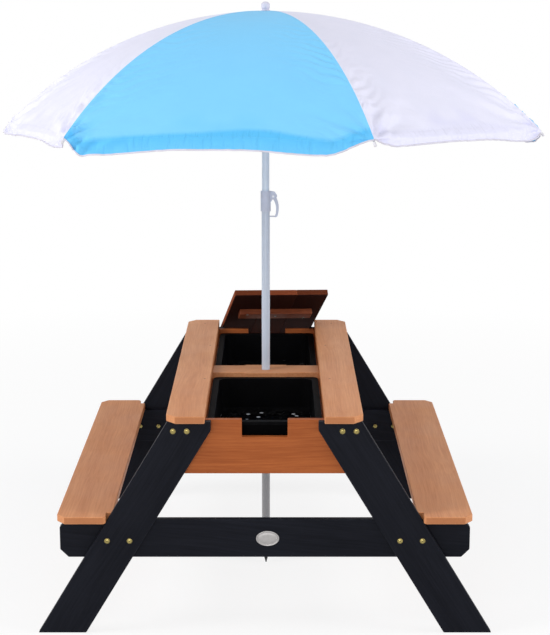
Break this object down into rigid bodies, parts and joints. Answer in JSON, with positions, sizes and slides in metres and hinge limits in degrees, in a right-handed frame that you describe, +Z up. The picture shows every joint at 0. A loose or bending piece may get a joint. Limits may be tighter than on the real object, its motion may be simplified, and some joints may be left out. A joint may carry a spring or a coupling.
{
  "type": "picnic table with parasol",
  "caption": "A-frame child's picnic table with bench planks, sand bins under the top, a loose wooden lid and a folding parasol through its middle.",
  "frame": {"origin": "on the ground under the middle of the whole, which is about under the middle of the parasol's rim", "axes": "+X right across the benches, +Y away from the near end, +Z up"},
  "size_m": [1.2834, 1.2391, 1.357],
  "materials": {
    "plank": "stained light orange-brown, satin",
    "frame": "dark anthracite stain, satin",
    "apron": "stained warm brown, satin",
    "lid_wood": "stained red-brown, satin",
    "bin_plastic": "glossy black",
    "pole_metal": "pale grey paint, satin",
    "collar_plastic": "blue-grey, matt",
    "spike_plastic": "black, matt",
    "rib_steel": "zinc-plated",
    "cloth_blue": "sky-blue woven cloth",
    "cloth_white": "cool white woven cloth"
  },
  "bodies": {
    "table": {"leg_front_left": "frame", "leg_front_right": "frame", "leg_rear_left": "frame", "leg_rear_right": "frame", "apron_front": "apron", "apron_rear": "apron", "seat_beam_front": "frame", "seat_beam_rear": "frame", "tabletop_plank_left": "plank", "tabletop_plank_right": "plank", "seat_plank_left": "plank", "seat_plank_right": "plank", "side_rail_left": "apron", "side_rail_right": "apron", "bin_ledge_left": "apron", "bin_ledge_right": "apron", "crossbar": "apron"},
    "front_bin": {"bin_front": "bin_plastic"},
    "rear_bin": {"bin_rear": "bin_plastic"},
    "lid": {"lid_board_left": "lid_wood", "lid_board_middle": "lid_wood", "lid_board_right": "lid_wood", "lid_batten_upper": "lid_wood", "lid_batten_lower": "lid_wood"},
    "spike": {"ground_spike": "spike_plastic"},
    "lower_mast": {"lower_pole": "pole_metal", "height_collar": "collar_plastic", "lever_pin": "rib_steel"},
    "height_lever": {"lock_lever": "collar_plastic"},
    "upper_mast": {"upper_pole": "pole_metal", "crown_hub": "spike_plastic", "finial": "pole_metal"},
    "slider": {"runner": "spike_plastic"},
    "rib_arm_1": {"rib_1": "rib_steel", "canopy_panel_1": "cloth_blue"},
    "link_1": {"stretcher_1": "rib_steel"},
    "rib_arm_2": {"rib_2": "rib_steel", "canopy_panel_2": "cloth_white"},
    "link_2": {"stretcher_2": "rib_steel"},
    "rib_arm_3": {"rib_3": "rib_steel", "canopy_panel_3": "cloth_blue"},
    "link_3": {"stretcher_3": "rib_steel"},
    "rib_arm_4": {"rib_4": "rib_steel", "canopy_panel_4": "cloth_white"},
    "link_4": {"stretcher_4": "rib_steel"},
    "rib_arm_5": {"rib_5": "rib_steel", "canopy_panel_5": "cloth_blue"},
    "link_5": {"stretcher_5": "rib_steel"},
    "rib_arm_6": {"rib_6": "rib_steel", "canopy_panel_6": "cloth_white"},
    "link_6": {"stretcher_6": "rib_steel"}
  },
  "joints": [
    {"name": "front_bin_lift", "type": "slide", "parent": "table", "child": "front_bin", "axis": [0, 0, 1], "range_m": [0, 0.15]},
    {"name": "rear_bin_lift", "type": "slide", "parent": "table", "child": "rear_bin", "axis": [0, 0, 1], "range_m": [0, 0.15]},
    {"name": "lid_lift", "type": "slide", "parent": "rear_bin", "child": "lid", "axis": [0, 0, 1], "range_m": [0, 0.25]},
    {"name": "parasol_lift", "type": "slide", "parent": "table", "child": "spike", "axis": [0, 0.0635, 0.998], "range_m": [0, 0.52]},
    {"name": "parasol_turn", "type": "hinge", "parent": "spike", "child": "lower_mast", "pos_m": [0, -0.06209, 0.08782], "axis": [0, 0.0635, 0.998], "continuous": true},
    {"name": "height_lever_turn", "type": "hinge", "parent": "lower_mast", "child": "height_lever", "pos_m": [0.018, -0.01032, 0.90168], "axis": [0, -0.998, 0.0635], "range_deg": [0, 18], "stiffness_Nm_per_rad": 0.4, "springref_deg": -5.73},
    {"name": "height_slide", "type": "slide", "parent": "lower_mast", "child": "upper_mast", "axis": [0, 0.0635, 0.998], "range_m": [-0.25, 0.2]},
    {"name": "runner_slide", "type": "slide", "parent": "upper_mast", "child": "slider", "axis": [0, -0.0635, -0.998], "range_m": [0, 0.21552]},
    {"name": "rib_1_fold", "type": "hinge", "parent": "upper_mast", "child": "rib_arm_1", "pos_m": [-0.01029, 0.00453, 1.3281], "axis": [0.766, -0.6415, 0.0408], "range_deg": [-0.5, 65.5], "deforming": ["canopy_panel_1"]},
    {"name": "stretcher_1_turn", "type": "hinge", "parent": "rib_arm_1", "child": "link_1", "pos_m": [-0.115, -0.12125, 1.31657], "axis": [-0.766, 0.6415, -0.0408], "range_deg": [-0.5, 107.88]},
    {"name": "rib_2_fold", "type": "hinge", "parent": "upper_mast", "child": "rib_arm_2", "pos_m": [0.00547, 0.00176, 1.32827], "axis": [0.9397, 0.3413, -0.0217], "range_deg": [-0.5, 65.5], "deforming": ["canopy_panel_2"]},
    {"name": "stretcher_2_turn", "type": "hinge", "parent": "rib_arm_2", "child": "link_2", "pos_m": [0.06119, -0.15226, 1.31855], "axis": [-0.9397, -0.3413, 0.0217], "range_deg": [-0.5, 107.88]},
    {"name": "rib_3_fold", "type": "hinge", "parent": "upper_mast", "child": "rib_arm_3", "pos_m": [0.01576, 0.01399, 1.32749], "axis": [0.1736, 0.9828, -0.0625], "range_deg": [-0.5, 65.5], "deforming": ["canopy_panel_3"]},
    {"name": "stretcher_3_turn", "type": "hinge", "parent": "rib_arm_3", "child": "link_3", "pos_m": [0.17619, -0.01548, 1.30984], "axis": [-0.1736, -0.9828, 0.0625], "range_deg": [-0.5, 107.88]},
    {"name": "rib_4_fold", "type": "hinge", "parent": "upper_mast", "child": "rib_arm_4", "pos_m": [0.01029, 0.02899, 1.32654], "axis": [-0.766, 0.6415, -0.0408], "range_deg": [-0.5, 65.5], "deforming": ["canopy_panel_4"]},
    {"name": "stretcher_4_turn", "type": "hinge", "parent": "rib_arm_4", "child": "link_4", "pos_m": [0.115, 0.1523, 1.29917], "axis": [0.766, -0.6415, 0.0408], "range_deg": [-0.5, 107.88]},
    {"name": "rib_5_fold", "type": "hinge", "parent": "upper_mast", "child": "rib_arm_5", "pos_m": [-0.00547, 0.03177, 1.32636], "axis": [-0.9397, -0.3413, 0.0217], "range_deg": [-0.5, 65.5], "deforming": ["canopy_panel_5"]},
    {"name": "stretcher_5_turn", "type": "hinge", "parent": "rib_arm_5", "child": "link_5", "pos_m": [-0.06119, 0.1833, 1.2972], "axis": [0.9397, 0.3413, -0.0217], "range_deg": [-0.5, 107.88]},
    {"name": "rib_6_fold", "type": "hinge", "parent": "upper_mast", "child": "rib_arm_6", "pos_m": [-0.01576, 0.01953, 1.32714], "axis": [-0.1736, -0.9828, 0.0625], "range_deg": [-0.5, 65.5], "deforming": ["canopy_panel_6"]},
    {"name": "stretcher_6_turn", "type": "hinge", "parent": "rib_arm_6", "child": "link_6", "pos_m": [-0.17619, 0.04653, 1.3059], "axis": [0.1736, 0.9828, -0.0625], "range_deg": [-0.5, 107.88]}
  ],
  "couplings": [
    {"joint": "rib_1_fold", "follows": "runner_slide", "rad_per_m": 5.2638},
    {"joint": "stretcher_1_turn", "follows": "runner_slide", "rad_per_m": 8.6959},
    {"joint": "rib_2_fold", "follows": "runner_slide", "rad_per_m": 5.2638},
    {"joint": "stretcher_2_turn", "follows": "runner_slide", "rad_per_m": 8.6959},
    {"joint": "rib_3_fold", "follows": "runner_slide", "rad_per_m": 5.2638},
    {"joint": "stretcher_3_turn", "follows": "runner_slide", "rad_per_m": 8.6959},
    {"joint": "rib_4_fold", "follows": "runner_slide", "rad_per_m": 5.2638},
    {"joint": "stretcher_4_turn", "follows": "runner_slide", "rad_per_m": 8.6959},
    {"joint": "rib_5_fold", "follows": "runner_slide", "rad_per_m": 5.2638},
    {"joint": "stretcher_5_turn", "follows": "runner_slide", "rad_per_m": 8.6959},
    {"joint": "rib_6_fold", "follows": "runner_slide", "rad_per_m": 5.2638},
    {"joint": "stretcher_6_turn", "follows": "runner_slide", "rad_per_m": 8.6959}
  ]
}
